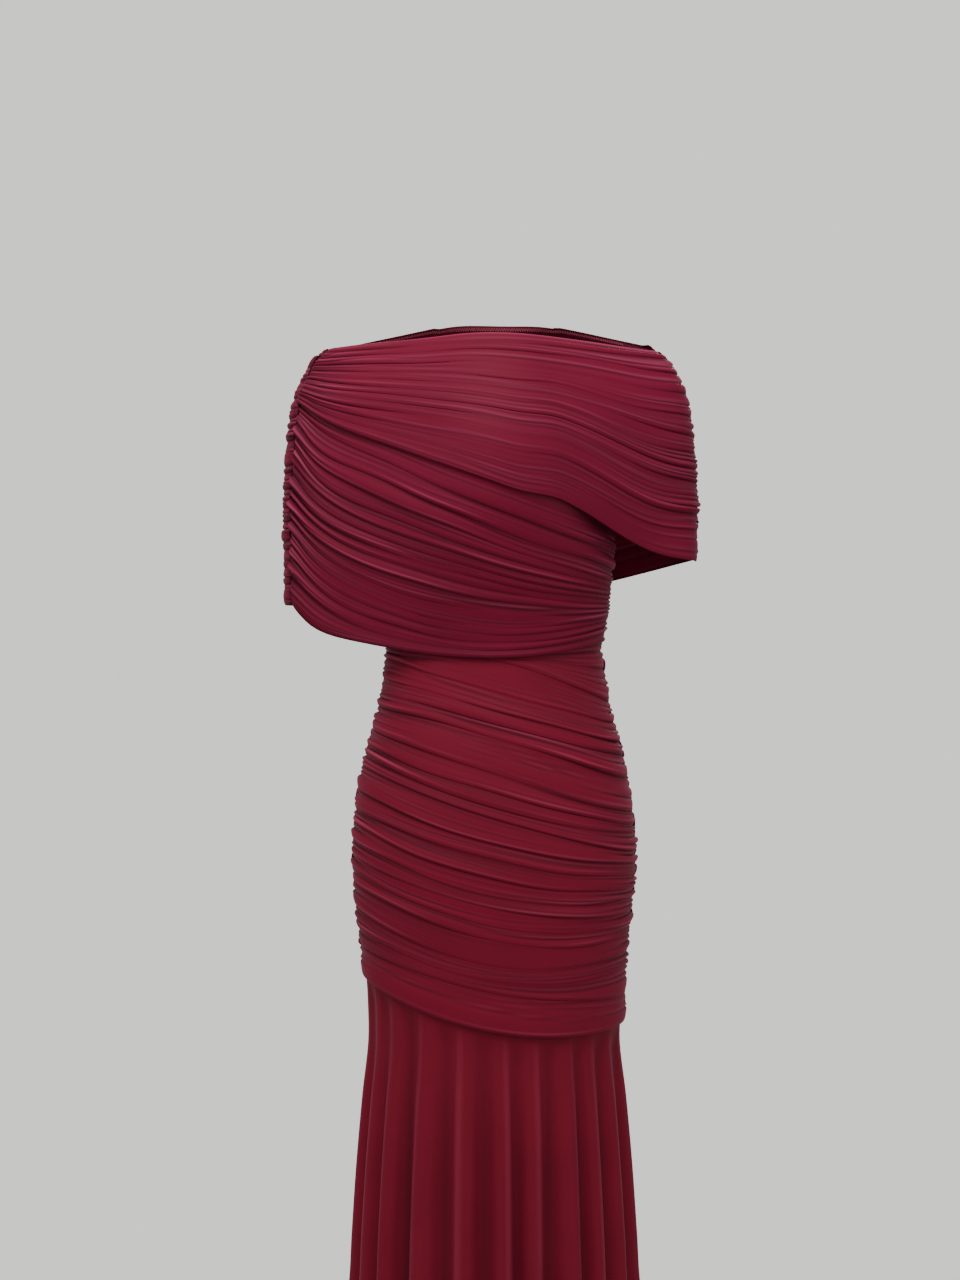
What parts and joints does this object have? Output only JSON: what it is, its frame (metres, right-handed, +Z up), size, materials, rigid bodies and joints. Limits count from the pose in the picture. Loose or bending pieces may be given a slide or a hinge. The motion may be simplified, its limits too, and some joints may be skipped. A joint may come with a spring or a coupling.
{
  "type": "mermaid gown",
  "caption": "Floor-length mermaid gown, ruched from underarm to below the hip, with a flared folded skirt and a cape drape gathered into a seam down each arm.",
  "frame": {"origin": "centre line of the gown at the height where it rests on the shoulders", "axes": "+Z up, -Y towards the gown's front, +X towards the wearer's left arm"},
  "size_m": [0.5376, 0.4816, 1.4687],
  "materials": {
    "ruched_mesh": "fine matte stretch mesh, wine red",
    "skirt_mesh": "fine matte stretch mesh, wine red",
    "drape_mesh": "fine stretch mesh with a soft sheen, wine red"
  },
  "bodies": {
    "root": {"body_front": "ruched_mesh", "body_back": "ruched_mesh", "skirt_front": "skirt_mesh", "skirt_back": "skirt_mesh", "drape_upper": "drape_mesh", "drape_lower": "drape_mesh", "cape_back": "drape_mesh"}
  },
  "joints": []
}
